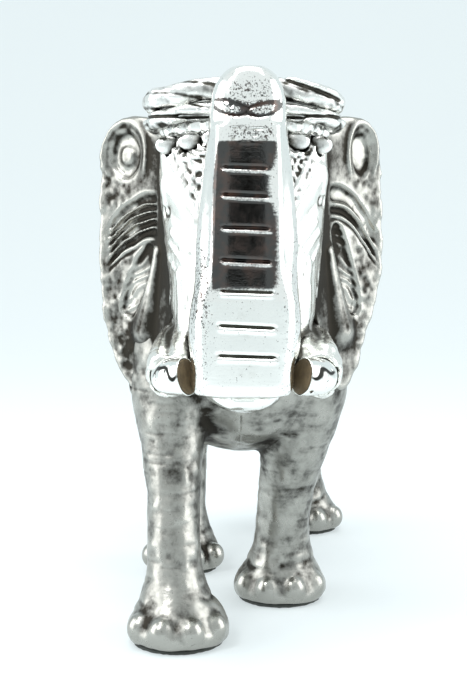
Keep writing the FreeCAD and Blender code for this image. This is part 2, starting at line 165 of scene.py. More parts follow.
def blur(values, width):
    """Running mean over width cells along each axis, twice, which is close to a Gaussian."""
    width = max(3, int(width) | 1)
    for axis in (0, 1, 2):
        for _ in range(2):
            pad = [(0, 0)] * 3
            pad[axis] = (width // 2 + 1, width // 2)
            total = np.cumsum(np.pad(values, pad, mode="edge"), axis=axis, dtype=np.float64)
            ahead = np.take(total, np.arange(width, total.shape[axis]), axis=axis)
            behind = np.take(total, np.arange(0, total.shape[axis] - width), axis=axis)
            values = ((ahead - behind) / width).astype(np.float32)
    return values


def near(a, b, reach):
    return np.all(a[0] - reach < b[1]) and np.all(b[0] - reach < a[1])


def mesh_piece(name, grid, field, shade, extra_tone):
    """Meshes a field's surface and stores how hollow the surface is at each point, with the piece's
    extra tone added: patina and mottling, a painted highlight on the feet and a painted reflection on
    the tusks.
    """
    volume = vdb.FloatGrid(BAND)
    volume.transform = vdb.createLinearTransform(voxelSize=grid.step)
    volume.copyFromArray(np.ascontiguousarray(field, np.float32),
                         ijk=tuple(int(v) for v in grid.first))
    points, quads = volume.convertToQuads(0.0)
    quads = quads.astype(np.int32)
    a, b, c = (points[quads[:, k]] for k in range(3))
    if np.sum(np.cross(b - a, c - a) * a) < 0:
        quads = quads[:, ::-1]
    mesh = bpy.data.meshes.new(name)
    mesh.vertices.add(len(points))
    mesh.vertices.foreach_set("co", (points * MM).astype(np.float32).ravel())
    mesh.loops.add(quads.size)
    mesh.loops.foreach_set("vertex_index", quads.ravel())
    mesh.polygons.add(len(quads))
    mesh.polygons.foreach_set("loop_start", np.arange(0, quads.size, 4, dtype=np.int32))
    mesh.update(calc_edges=True)
    mesh.polygons.foreach_set("use_smooth", np.ones(len(quads), bool))
    fine = grid.sample(blur(shade, 1.6 / grid.step), points)
    broad = grid.sample(blur(shade, 5.0 / grid.step), points)
    hollow = mesh.attributes.new("hollow", "FLOAT", "POINT")
    value = -(fine * 3.2 + broad * 0.9)
    value = value - np.median(value)
    if extra_tone is not None:
        value = value + grid.sample(extra_tone, points)
    hollow.data.foreach_set("value", value.astype(np.float32))
    piece = bpy.data.objects.new(name, mesh)
    bpy.context.scene.collection.objects.link(piece)
    return piece


def finish_piece(piece, material, nodes):
    piece.data.materials.clear()
    piece.data.materials.append(material)
    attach(piece, "root")
    if nodes:
        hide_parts(*nodes)


# --- materials ------------------------------------------------------------------------------
def node_tree(name):
    material = bpy.data.materials.new(name)
    material.use_nodes = True
    tree = material.node_tree
    tree.nodes.clear()
    shader = tree.nodes.new("ShaderNodeBsdfPrincipled")
    out = tree.nodes.new("ShaderNodeOutputMaterial")
    tree.links.new(shader.outputs[0], out.inputs[0])
    return material, tree, shader


def add(tree, kind, settings=(), **inputs):
    """A node with its inputs set from values or from other nodes' sockets."""
    node = tree.nodes.new(kind)
    for key, value in dict(settings).items():
        setattr(node, key, value)
    for key, value in inputs.items():
        socket = node.inputs[int(key[1:])] if key[1:].isdigit() else node.inputs[key]
        if isinstance(value, bpy.types.NodeSocket):
            tree.links.new(value, socket)
        else:
            socket.default_value = value
    return node


def math_node(tree, operation, a, b=0.0, clamp=False):
    return add(tree, "ShaderNodeMath", {"operation": operation, "use_clamp": clamp},
               _0=a, _1=b).outputs[0]


def ramp(tree, value, stops):
    node = add(tree, "ShaderNodeValToRGB", Fac=value)
    while len(node.color_ramp.elements) < len(stops):
        node.color_ramp.elements.new(0.5)
    for element, (at, color) in zip(node.color_ramp.elements, stops):
        element.position = at
        element.color = (*color, 1) if isinstance(color, tuple) else (color, color, color, 1)
    return node.outputs[0]


def noise_node(tree, vector, scale, detail=3.0, rough=0.6):
    return add(tree, "ShaderNodeTexNoise", Vector=vector, Scale=scale, Detail=detail,
               Roughness=rough).outputs[0]


def plus_noise(tree, value, noise, amount):
    """Adds a noise to a value, moved so that its middle is nought."""
    centred = math_node(tree, "SUBTRACT", noise, 0.5)
    return math_node(tree, "ADD", value, math_node(tree, "MULTIPLY", centred, amount))


PIT_SHARE = 0.5                         # how dark the finest pits are


def silver(name, bright, dark, patina, rough, mottle=0.25):
    """Silver plate: bright where it is worn smooth, dark where the surface is hollow or mottled; on
    the feet and tusks a painted highlight and a painted reflection come in with the hollow values.
    """
    material, tree, shader = node_tree(name)
    place = add(tree, "ShaderNodeTexCoord").outputs["Object"]
    hollow = add(tree, "ShaderNodeAttribute", {"attribute_name": "hollow"}).outputs["Fac"]
    cloud = noise_node(tree, place, 160.0, 4.0, 0.65)
    speck = noise_node(tree, place, 900.0, 3.0, 0.7)
    worn = math_node(tree, "ADD", hollow, patina)
    worn = plus_noise(tree, worn, cloud, mottle * 4)
    worn = plus_noise(tree, worn, speck, mottle * 2.2)
    tone = ramp(tree, worn, [(0.0, bright), (0.28, tuple(0.76 * b for b in bright)),
                             (0.5, tuple(0.42 * b for b in bright)), (0.8, dark)])
    pit = ramp(tree, speck, [(0.28, 1.0), (0.36, 0.0)])
    pit = math_node(tree, "MULTIPLY", pit, PIT_SHARE)
    tone = add(tree, "ShaderNodeMix", {"data_type": "RGBA"}, _0=pit, _6=tone,
               _7=(*dark, 1)).outputs[2]
    tree.links.new(tone, shader.inputs["Base Color"])
    shader.inputs["Metallic"].default_value = 1.0
    roughness = ramp(tree, math_node(tree, "ADD", worn, math_node(tree, "MULTIPLY", cloud, 0.3)),
                     [(0.0, rough[0]), (1.0, rough[1])])
    tree.links.new(roughness, shader.inputs["Roughness"])
    height = math_node(tree, "ADD", math_node(tree, "MULTIPLY", cloud, 0.6),
                       math_node(tree, "MULTIPLY", speck, 0.25))
    bump = add(tree, "ShaderNodeBump", Strength=0.35, Distance=0.0006, Height=height)
    tree.links.new(bump.outputs[0], shader.inputs["Normal"])
    return material


def trunk_silver():
    """Polished trunk, with a dark panel down its flat front, partly tarnished silver and partly a
    painted dark reflection, and pits around it.
    """
    material, tree, shader = node_tree("trunk_silver")
    place = add(tree, "ShaderNodeTexCoord").outputs["Object"]
    hollow = add(tree, "ShaderNodeAttribute", {"attribute_name": "hollow"}).outputs["Fac"]
    panel = add(tree, "ShaderNodeAttribute", {"attribute_name": "tarnish_and_painted_reflection"}).outputs["Fac"]
    speck = noise_node(tree, place, 1500.0, 3.0, 0.75)
    cloud = noise_node(tree, place, 260.0, 3.0, 0.6)
    streak_at = add(tree, "ShaderNodeVectorMath", {"operation": "MULTIPLY"}, _0=place,
                    _1=(300.0, 300.0, 2400.0)).outputs[0]
    streak = noise_node(tree, streak_at, 1.0, 2.0, 0.6)
    soot = add(tree, "ShaderNodeAttribute", {"attribute_name": "soot"}).outputs["Fac"]
    edge = plus_noise(tree, plus_noise(tree, panel, speck, 0.9), streak, 0.5)
    grains = plus_noise(tree, soot, speck, 2.0)
    # the panel is painted near-black and brown: partly tarnished silver, partly a painted reflection
    # of the dark room in front
    dark = math_node(tree, "MAXIMUM", ramp(tree, edge, [(0.22, 0.0), (0.62, 0.93)]),
                     ramp(tree, grains, [(0.40, 0.0), (0.52, 0.93)]))
    brown_tarnish_and_painted_reflection = ramp(tree, cloud, [(0.45, (0.02, 0.02, 0.02)), (0.72, (0.07, 0.034, 0.024))])
    worn = plus_noise(tree, hollow, cloud, 0.5)
    base = ramp(tree, worn, [(0.1, (0.92, 0.92, 0.89)), (0.5, (0.60, 0.60, 0.56)),
                             (0.85, (0.05, 0.05, 0.04))])
    pit = ramp(tree, speck, [(0.30, 1.0), (0.35, 0.0)])
    base = add(tree, "ShaderNodeMix", {"data_type": "RGBA"}, _0=pit, _6=base,
               _7=(0.06, 0.06, 0.05, 1)).outputs[2]
    tone = add(tree, "ShaderNodeMix", {"data_type": "RGBA"}, _0=dark, _6=base,
               _7=brown_tarnish_and_painted_reflection).outputs[2]
    tree.links.new(tone, shader.inputs["Base Color"])
    shader.inputs["Metallic"].default_value = 1.0
    tree.links.new(ramp(tree, cloud, [(0.3, 0.08), (0.7, 0.2)]), shader.inputs["Roughness"])
    bump = add(tree, "ShaderNodeBump", Strength=0.06, Distance=0.0003,
               Height=math_node(tree, "ADD", speck, math_node(tree, "MULTIPLY", streak, 0.6)))
    tree.links.new(bump.outputs[0], shader.inputs["Normal"])
    return material


def simple_material(name, color, metallic, rough, grain=400.0, change=0.35):
    material, tree, shader = node_tree(name)
    place = add(tree, "ShaderNodeTexCoord").outputs["Object"]
    grainy = noise_node(tree, place, grain, 4.0, 0.7)
    tone = ramp(tree, grainy, [(0.3, tuple(c * (1 - change) for c in color)),
                               (0.7, tuple(c * (1 + change) for c in color))])
    tree.links.new(tone, shader.inputs["Base Color"])
    shader.inputs["Metallic"].default_value = metallic
    tree.links.new(ramp(tree, grainy, [(0.2, rough * 0.8), (0.8, min(1.0, rough * 1.25))]),
                   shader.inputs["Roughness"])
    bump = add(tree, "ShaderNodeBump", Strength=0.4, Distance=0.0003, Height=grainy)
    tree.links.new(bump.outputs[0], shader.inputs["Normal"])
    return material


# --- sculpting ------------------------------------------------------------------------------
SKIN = ["body_shell_right", "body_shell_left", "head", "lower_lip", "trunk", "ear_right",
        "ear_left", "leg_front_right", "leg_front_left", "leg_rear_right", "leg_rear_left", "tail"]
PEGS = [n for n in NODES if "peg" in n] + ["belly_plug"]
BOXES = {n: box_mm(n) for n in NODES}
SEAL = 0.12                             # gaps up to twice this wide are closed before smoothing


def outer_distance(grid, field):
    """Measures a joined field again from its surface, so that seams inside it have no effect."""
    volume = vdb.FloatGrid(BAND)
    volume.transform = vdb.createLinearTransform(voxelSize=grid.step)
    corner = tuple(int(v) for v in grid.first)
    volume.copyFromArray(np.ascontiguousarray(field, np.float32), ijk=corner)
    points, quads = volume.convertToQuads(SEAL)
    level = vdb.FloatGrid.createLevelSetFromPolygons(
        points, quads=quads, transform=vdb.createLinearTransform(voxelSize=grid.step),
        halfWidth=BAND / grid.step)
    out = np.empty(grid.shape, np.float32)
    level.copyToArray(out, ijk=corner)
    return out + SEAL


REAR_END = 12                           # the round end of the body, filled from behind


def piece_field(grid, node):
    """A CAD piece's field. A body half counts as solid from its outer wall to the middle."""
    field = grid.distance(node)
    if not node.startswith("body"):
        return field
    low, high = BOXES[node]
    right = node.endswith("right")
    order = slice(None, None, 1 if right else -1)
    filled = np.minimum.accumulate(field[order], axis=0)[order]
    from_rear = np.minimum.accumulate(field[:, ::-1], axis=1)[:, ::-1]
    filled = np.where(grid.y > high[1] - REAR_END, np.minimum(filled, from_rear), filled)
    return np.maximum(filled, grid.x - high[0] if right else low[0] - grid.x)


def blended(grid, node, neighbours, k):
    """The piece's field, flowing into its neighbours, and the border where they take over."""
    own = piece_field(grid, node)
    here = (np.array([a[0] for a in grid.axes]), np.array([a[-1] for a in grid.axes]))
    others = [n for n in neighbours if n != node and near(BOXES[n], here, 0.0)]
    solid, border = own, None
    for n in others:
        field = piece_field(grid, n)
        border = field if border is None else np.minimum(border, field)
        flush = node.startswith("body") and n.startswith("body")
        solid = np.minimum(solid, field) if flush else smooth_min(solid, field, k)
    for n in PEGS:
        if near(BOXES[n], here, 0.0):
            solid = np.minimum(solid, grid.distance(n))
    if border is None:
        return solid, np.full(grid.shape, -BAND, np.float32)
    return outer_distance(grid, solid), (own - border) * 0.5


def grid_round(node, step, margin=3.0):
    low, high = BOXES[node]
    return Grid(low, high, step, margin)


DIP, OVERLAP = 0.3, 0.7                 # how deep and how far a piece goes under its neighbour


def sculpt(node, step, detail, neighbours=SKIN, k=2.5, soften=1.2):
    """One casting: blended, softened, given its detail and extra tone (patina and mottling, a painted
    highlight on the feet, a painted reflection on the tusks), and ended at its neighbours.
    """
    grid = grid_round(node, step)
    solid, border = blended(grid, node, neighbours, k)
    solid = detail(grid, blur(solid, soften / step))
    solid, extra_tone = solid if isinstance(solid, tuple) else (solid, None)
    # past its border a piece dips under its neighbour, so that no gap or edge shows
    sunk = np.maximum(solid + DIP * smooth_step(0, 0.6, border), border - OVERLAP)
    return mesh_piece(node + "_cast", grid, sunk, solid, extra_tone)


# trunk
GROOVE_DROPS = [25.6, 32.4, 40.4, 48.5, 56.1, 64.8, 72.2]     # below the top of the trunk


MUZZLE_TOP = 51.4                       # where the square base ends, below the top of the trunk
TRUNK_FRONT = ((0, 12, 18.5, 56, 58.5, 90), (8.0, 5.6, 4.35, 0.6, 0.45, 0.3))


def trunk_middle(z):
    """Where the trunk's middle line is at a height; it leans a little to the left."""
    return HEAD_X + 1.0 - 0.012 * np.clip(TRUNK_TOP - z, 0, 70)


def trunk_detail(grid, d):
    x, y, z = grid.x, grid.y, grid.z
    middle = trunk_middle(z)
    drop = TRUNK_TOP - z
    # the front is a flat face with rounded corners, leaning back above the square base
    front = TRUNK_LOW[1] + np.interp(drop, *TRUNK_FRONT)
    off = np.abs(x - middle)
    wide = 9.5 - 0.035 * np.clip(56 - drop, 0, None)
    flat = smooth_max(smooth_max(front - y, off - wide, 2.2), y - front - 9, 0.5)
    flat = np.maximum(flat, np.maximum(15.0 - drop, drop - 80))
    melted = blur(d, 5.0 / grid.step)
    step = smooth_step(7, 2, np.abs(drop - MUZZLE_TOP))
    d = d * (1 - step) + melted * step
    d = smooth_min(d, flat, 2.5)
    d = smooth_max(d, front - y, 0.9)
    d = smooth_max(d, (off - 9.9 + front - y) * 0.7, 4.0)       # soft corners on the square base
    forward = smooth_step(-10, -14, y - TRUNK_LOW[1] - 18)
    for i, at in enumerate(GROOVE_DROPS):
        half = 5.9 + 0.28 * i
        level = at + 0.05 * (x - middle) * (1 if i % 2 else 0.7)
        from_middle = np.abs(x - middle + 0.7 - 0.2 * i)
        along = smooth_step(half + 0.5, half - 1.2, from_middle)
        cut = np.exp(-((drop - level) / 0.42) ** 2) * 0.62
        lip = np.exp(-((drop - level - 0.95) / 0.45) ** 2) * 0.22
        d = d + (cut - lip) * along * forward
    # the tip: nostril crease in two lobes, with grains beside it
    across = (x - middle) / 9.4
    lobes = nostril_lobes(across, drop)
    grains = grid.noise(0.7, 7)
    rim = np.exp(-((lobes - 1) / 0.3) ** 2)
    d = d + (rim * 0.7 + (lobes < 1.1) * (0.15 + grains * 0.5)) * forward
    fine = grid.noise(1.0, 9, (3.0, 3.0, 0.45))
    scratches = smooth_step(15.0, 16.0, drop) * smooth_step(20.5, 19.5, drop)
    scratches = scratches * smooth_step(5.0, 3.5, off)
    d = d + np.clip(fine - 0.15, 0, None) * 0.5 * scratches
    sides = smooth_step(7, 10, off) + smooth_step(20, 17, drop)
    return d + (grid.noise(9.0, 3) * 0.12 + grid.noise(2.4, 4) * 0.04) * np.clip(sides, 0, 1)


def nostril_lobes(across, drop):
    """Below 1 inside either of the two flat lobes at the tip, which sag in the middle."""
    sag = drop - 11.4 + 2.2 * across ** 2
    left = np.hypot((across + 0.52) / 0.5, sag / 1.7)
    right = np.hypot((across - 0.42) / 0.46, (sag - 0.2) / 1.6)
    return np.minimum(left, right)


def mark_trunk_tarnish_and_painted_reflection(piece):
    """Marks the dark panel on the trunk's front, partly tarnished silver and partly a painted dark
    reflection, and where black grains gather round it.
    """
    mesh = piece.data
    co = np.empty(len(mesh.vertices) * 3, np.float32)
    mesh.vertices.foreach_get("co", co)
    co = co.reshape(-1, 3) / MM
    drop = TRUNK_TOP - co[:, 2]
    off = co[:, 0] - trunk_middle(co[:, 2])
    # the panel's outline, partly tarnished silver and partly painted dark reflection; the groove lips
    # across it are left out
    right_edge = 9.4 - 2.4 * np.exp(-((drop - 30) / 6.0) ** 2)
    wide = smooth_step(9.0, 8.0, -off) * smooth_step(right_edge, right_edge - 3.8, off)
    panel = wide * smooth_step(18.6, 19.6, drop) * smooth_step(57.5, 53.5, drop)
    panel = panel * smooth_step(-6.5, -7.5, co[:, 1] - TRUNK_LOW[1] - 12)
    lips = sum(np.exp(-((drop - at - 1.0 - 0.05 * off) / 0.42) ** 2) for at in GROOVE_DROPS)
    panel = np.clip(panel - 0.9 * lips * smooth_step(7.0, 5.5, np.abs(off)), 0, 1)
    facing = smooth_step(-2.0, -4.0, co[:, 1] - TRUNK_LOW[1] - 12)
    lobes = nostril_lobes(off / 9.4, drop)
    soot = (0.75 * np.exp(-((lobes - 1) / 0.28) ** 2) + 0.3 * (lobes < 1)) * facing
    specks = np.exp(-((drop - 6.5) / 4.0) ** 2) * 0.36 + np.exp(-((drop - 17) / 2.6) ** 2) * 0.4
    soot = soot + specks * smooth_step(8.0, 4.0, np.abs(off - 0.8)) * facing
    soot = soot + 0.26 * smooth_step(7.5, 10.5, np.abs(off)) * smooth_step(25, 45, drop)
    low_down = smooth_step(42, 50, drop) * smooth_step(68, 60, drop)
    soot = soot + 0.14 * smooth_step(-6.0, -9.0, off) * low_down
    smudge = sum(np.exp(-((drop - at - 0.4) / 0.9) ** 2) for at in GROOVE_DROPS[4:])
    soot = soot + 0.34 * smudge * smooth_step(1.0, 4.5, off) * smooth_step(9.0, 6.5, off) * facing
    for name, value in (("tarnish_and_painted_reflection", panel), ("soot", soot)):
        stored = mesh.attributes.new(name, "FLOAT", "POINT")
        stored.data.foreach_set("value", np.clip(value, 0, 1).astype(np.float32))


# head: its features are placed by distance from the middle line and by height
HEAD_TILT = 0.07                        # the face is carried higher on its left


def on_face(grid, d, side, out, z):
    """The point of the head's front at a distance to one side and a height."""
    x, z = HEAD_X + side * out, z + HEAD_TILT * side * out
    i, k = (int(round(v / grid.step)) - grid.first[a] for v, a in ((x, 0), (z, 2)))
    inside = np.nonzero(d[i, :, k] < 0)[0]
    y = grid.axes[1][inside[0]] if len(inside) else FACE_BACK
    return np.array((x, y, z))


def press(grid, d, points, width, height):
    """Raises a rounded ridge along points, or cuts a groove where height is negative."""
    reach = max(width)
    low, high = np.min(points, axis=0) - reach, np.max(points, axis=0) + reach
    spans = []
    for k in range(3):
        first, last = np.searchsorted(grid.axes[k], (low[k], high[k]))
        spans.append(slice(first, last + 1))
    x, y, z = grid.x[spans[0]], grid.y[:, spans[1]], grid.z[spans[2]]
    best = None
    for number in range(len(points) - 1):
        start, along = points[number], points[number + 1] - points[number]
        share = (x - start[0]) * along[0] + (y - start[1]) * along[1] + (z - start[2]) * along[2]
        share = np.clip(share / max(float(along @ along), 1e-6), 0, 1)
        gap = np.sqrt((x - start[0] - share * along[0]) ** 2
                      + (y - start[1] - share * along[1]) ** 2
                      + (z - start[2] - share * along[2]) ** 2)
        part = (number + share) / (len(points) - 1)
        gap = gap / (width[0] + (width[1] - width[0]) * part)
        best = gap if best is None else np.minimum(best, gap)
    d[spans[0], spans[1], spans[2]] -= height * smooth_step(1.0, 0.0, best)


# out and height at the start and end, width at the start and end, height of the ridge
FACE_LINES = [
    ((20.5, 131.5), (12.8, 121.5), (5.0, 3.6), 1.7),        # brow
    ((22.0, 146.0), (21.6, 127.0), (3.0, 2.6), 1.0),        # temple
    ((19.5, 119.0), (14.8, 113.0), (1.6, 1.0), 0.9),        # folds under the eye
    ((20.2, 116.2), (15.4, 109.2), (1.5, 1.0), 0.8),
    ((20.6, 112.6), (17.0, 105.4), (1.4, 1.0), 0.6),
    ((17.4, 108.0), (16.6, 86.0), (2.2, 3.6), 1.1),         # cheek beside the trunk
    ((20.2, 100.0), (20.6, 88.0), (1.5, 2.4), -1.5),        # slot behind it
    ((22.4, 104.0), (22.6, 86.0), (2.2, 4.2), 1.3),         # cheek under the ear
]
EYE_AT = (20.9, 124.6)


def head_detail(grid, d):
    for side in (-1, 1):
        for start, end, width, height in FACE_LINES:
            steps = [np.array(start) + (np.array(end) - start) * t for t in (0, 0.33, 0.67, 1)]
            press(grid, d, [on_face(grid, d, side, out, z) for out, z in steps], width, height)
        eye = on_face(grid, d, side, *EYE_AT)
        rear = eye + (0, 1.6, 0)
        press(grid, d, [eye, rear], (2.7, 2.7), -1.5)
        press(grid, d, [eye + (0, 0.5, 0.1), rear + (0, 0, 0.1)], (1.5, 1.5), 1.5)
    drop = HEAD_HIGH[2] - grid.z
    folds = np.sin((grid.z - 0.5 * np.abs(grid.x - HEAD_X)) * 1.1 + grid.noise(6.0, 15) * 1.6)
    d = d + np.clip(folds, 0, None) ** 4 * 0.3 * smooth_step(66, 72, drop)
    lines = grid.noise(2.6, 16, (0.6, 1, 2.6))
    d = d + np.exp(-(lines / 0.14) ** 2) * 0.15 * smooth_step(34, 40, drop)
    return d + grid.noise(7.0, 80) * 0.3 + grid.noise(1.8, 12) * 0.1


def lip_detail(grid, d):
    d = d + np.exp(-((grid.z - BOXES["lower_lip"][1][2] + 3.4) / 0.4) ** 2) * 0.4
    return d + grid.noise(3.0, 14) * 0.16


def skin_detail(amount=0.4):
    """Hide: soft lumps, and broken wrinkles that run mostly across the limb."""
    def detail(grid, d):
        lumps = grid.noise(7.0, 80) * amount + grid.noise(2.6, 81) * amount * 0.5
        creases = smooth_step(0.25, 0.6, grid.noise(2.0, 82, (2.6, 2.6, 0.6)))
        blotch = grid.noise(4.0, 84) * 0.16 + grid.noise(11.0, 85) * 0.2
        return d + lumps + creases * 0.09, blotch
    return detail


def leg_detail(node, seed):
    base = skin_detail()
    foot = BOXES["felt_pad_" + node[4:]]
    cx, cy = (foot[0][0] + foot[1][0]) / 2, (foot[0][1] + foot[1][1]) / 2
    sole = foot[1][2]

    def detail(grid, d):
        x, z = grid.x, grid.z
        d, blotch = base(grid, d)
        for number in range(4):
            angle = math.radians(-148 + number * 38.5)
            nail_at = (cx + 12.2 * math.cos(angle), cy + 12.2 * math.sin(angle), sole + 4.6)
            d = smooth_min(d, grid.ball(nail_at, (3.9, 3.9, 4.4)), 0.9)
        wander = grid.noise(7.0, seed + 4) * 1.6
        for turn, depth in ((11.5, 0.35), (36.0, 0.12), (41.0, 0.14)):
            level = sole + turn + 0.12 * (x - cx) + wander
            fade = smooth_step(-0.5, 0.3, grid.noise(8.0, seed + int(turn)))
            d = d + np.exp(-((z - level) / 1.0) ** 2) * depth * fade
        # painted highlight: the foot, the lowest 12 mm of each leg, is made lighter
        painted_foot_highlight = 0.12 * smooth_step(sole + 12, sole + 5, z)
        return smooth_max(d, sole + 0.02 - z, 0.3), blotch - painted_foot_highlight
    return detail


# ears: outward along the blade, and height
EAR_ANGLE = math.radians(41)
EAR_CUP_R, EAR_MIDDLE = 46.0, 14.0
EAR_ROOT_X, EAR_ROOT_Y = 19.5, 17.0     # from the head's middle line, and behind the toes
EAR = {
    "ear_right": dict(
        ring=(17.6, 139.6, 5.6, 6.8, 0.45), fall=0.028,
        ribs=[(129.4, 1.5), (125.8, 0.5), (123.4, 0.45), (121.0, 0.45), (118.6, 0.5), (115.2, 1.4)],
        hollow=((9.0, 111.5), (17.0, 96.0), 4.6)),
    "ear_left": dict(
        ring=(18.2, 139.8, 3.8, 6.4, 0.1), fall=0.046,
        ribs=[(132.0, 1.4), (125.9, 1.2), (122.2, 1.2)],
        hollow=((8.2, 117.5), (15.8, 96.0), 3.8)),
}
LOBE = ((4.6, 112.0), (11.0, 89.0), 2.6, 6.4)        # smooth cheek fold at the ear's root


def along_line(s, z, start, end):
    """Share of the way from start to end, and the distance from that line."""
    ds, dz = end[0] - start[0], end[1] - start[1]
    share = np.clip(((s - start[0]) * ds + (z - start[1]) * dz) / (ds * ds + dz * dz), 0, 1)
    return share, np.hypot(s - start[0] - share * ds, z - start[1] - share * dz)


def ear_detail(name):
    side = 1 if name == "ear_left" else -1
    plan = EAR[name]

    def detail(grid, d):
        z = grid.z
        dx, dy = side * (grid.x - HEAD_X) - EAR_ROOT_X, grid.y - TOES_Y - EAR_ROOT_Y
        s = dx * math.cos(EAR_ANGLE) + dy * math.sin(EAR_ANGLE)
        w = -dx * math.sin(EAR_ANGLE) + dy * math.cos(EAR_ANGLE)
        cup = np.sqrt(np.clip(EAR_CUP_R ** 2 - (s - EAR_MIDDLE) ** 2, 1, None)) - EAR_CUP_R
        front = smooth_step(0.9, -0.4, w - cup)
        wave = grid.noise(6.0, 36 + side)
        # the field of ribs, between its first and last
        z_rib = z + plan["fall"] * (s - 7) ** 2 + wave * 0.6
        top_rib, last_rib = plan["ribs"][0][0], plan["ribs"][-1][0]
        inside = smooth_step(top_rib + 1.0, top_rib - 0.6, z_rib)
        inside = inside * smooth_step(last_rib - 2, last_rib, z_rib)
        inside = inside * smooth_step(25.0, 22.5, s + wave) * smooth_step(4.0, 7.0, s)
        ribs = sum(np.exp(-((z_rib - at) / half) ** 2) for at, half in plan["ribs"])
        carved = inside * np.clip(1 - ribs, 0, 1)
        # the ring at the top, with a lump in its middle
        out, up, half_s, half_z, lump = plan["ring"]
        ring = np.sqrt(((s - out) / half_s) ** 2 + ((z - up) / half_z) ** 2) + wave * 0.12
        bowl = smooth_step(1.1, 0.6, ring) * (1 - lump * 1.6 * smooth_step(0.75, 0.2, ring))
        carved = np.maximum(carved, bowl)
        # the long hollow
        start, end, half = plan["hollow"]
        share, gap = along_line(s, z, start, end)
        half = half * (0.55 + 0.45 * np.sin(math.pi * (0.15 + 0.7 * share)))
        pit = smooth_step(1.1, 0.55, gap / half)
        pit = pit * (0.8 + 0.2 * np.sin(z_rib * 2.2 + wave * 3))
        carved = np.maximum(carved, pit)
        d = d + carved * 1.9 * front
        # the smooth lobe, the rolled rim and the mottled edge outside it
        start, end, thin, thick = LOBE
        share, gap = along_line(s, z, start, end)
        lobe = smooth_step(1.0, 0.1, gap / (thin + (thick - thin) * share))
        d = d - lobe * (1.0 + 1.2 * share) * front * (1 - 0.7 * carved)
        rim = blur(d, 9.0 / grid.step)
        edge = smooth_step(0.2, 1.4, rim) * smooth_step(14, 17, s)
        crown = np.exp(-((ring - 1.45) / 0.22) ** 2) * front * smooth_step(up - 8, up - 2, z)
        d = d - crown * 0.8
        rough = grid.noise(1.7, 33) * 0.2 + grid.noise(4.2, 34) * 0.3
        d = d + rough * (0.2 + 0.8 * edge) + edge * 0.2
        mottle = grid.noise(3.0, 38) * 0.5 + grid.noise(1.2, 39) * 0.5
        extra_tone = carved * (0.85 + 0.25 * mottle) + edge * (0.26 + 0.5 * mottle)
        extra_tone = extra_tone - lobe * 0.25 * (1 - carved)
        return d, extra_tone * front + (1 - front) * (0.1 + 0.2 * mottle)
    return detail


# headdress
def wrap(node, step, lines, seed):
    """A roll of cloth with slanting folds, and on one side the end that is tucked over it."""
    top = ROLL_HIGH[2]

    def detail(grid, d):
        x, y, z = grid.x - HEAD_X, grid.y, grid.z
        slide = x * lines[0] + z * lines[1] + (y - CROWN_Y) * lines[2] + grid.noise(9.0, seed + 2) * 2
        d = d + np.clip(np.sin(slide), 0, None) ** 3 * 0.28
        fold = (top - z) - 1.4 - 0.34 * (x - 11)
        near_fold = smooth_step(10, 12, x) * smooth_step(27, 24, x) * smooth_step(0, -6, y - CROWN_Y)
        tuck = np.exp(-(fold / 0.55) ** 2) * 0.8 - np.exp(-((fold + 1.5) / 0.9) ** 2) * 0.6
        d = d + tuck * near_fold
        below = top - 10.7                                  # scalloped edge of the second roll
        d = d + np.exp(-((z - below) / 0.45) ** 2) * 0.9
        turn = np.arctan2(x, -(y - CROWN_Y)) * 25.0
        scallop = np.abs(np.sin(turn * math.pi / 5.6)) * smooth_step(below, below - 1.5, z)
        d = d - scallop * 0.7
        return d + grid.noise(4.0, seed) * 0.4 + grid.noise(1.4, seed + 1) * 0.15
    return sculpt(node, step, detail, neighbours=[], soften=1.0)


def plate_detail(grid, d):
    """Beaded and granulated cloth with a raised hem, and petals under the headdress."""
    x, z = grid.x, grid.z
    off = np.abs(x - HEAD_X)
    top, tip = PLATE_HIGH[2], PLATE_LOW[2]
    edge = off - (PLATE_HIGH[0] - HEAD_X) * (z - tip) / (top - tip)
    d = d - 0.5
    hem = np.exp(-((edge + 1.3) / 0.7) ** 2)
    cells = np.sin(x * 1.9 + grid.noise(4.0, 41) * 4) * np.sin(z * 1.9 + grid.noise(4.0, 42) * 4)
    d = d + np.clip(cells, -0.4, 0.6) * 0.5 * smooth_step(-1.6, -3.0, edge) - hem * 0.4
    d = d + grid.noise(1.1, 43) * 0.28
    for number in range(3):
        out = 8.0 + number * 6.3
        y = CROWN_Y - 17.0 * math.sqrt(1 - (out / 25.5) ** 2)
        for side in (-1, 1):
            petal = grid.ball((HEAD_X + side * out, y, top - 1.6 - number * 0.8), (3.3, 1.5, 2.5))
            d = np.maximum(d, 0.45 - np.abs(petal))
            d = np.minimum(d, petal)
    return d


def cloth_detail(grid, d):
    low, high = BOXES["saddle_cloth"]
    y, z = grid.y, grid.z
    to_edge = np.minimum(np.minimum(y - low[1], high[1] - y), z - low[2])
    band = np.exp(-((to_edge - 5.0) / 0.7) ** 2) + np.exp(-((to_edge - 1.2) / 0.6) ** 2)
    beads = np.exp(-((to_edge - 3.1) / 0.9) ** 2) * (0.5 + 0.5 * np.cos((y + z) * 2.4))
    lattice = np.cos((y + z) * 0.55) * np.cos((y - z) * 0.55)
    inner = smooth_step(6.5, 7.5, to_edge)
    return d - 0.35 - band * 0.35 - beads * 0.6 - smooth_step(0.45, 0.8, lattice) * inner * 0.55


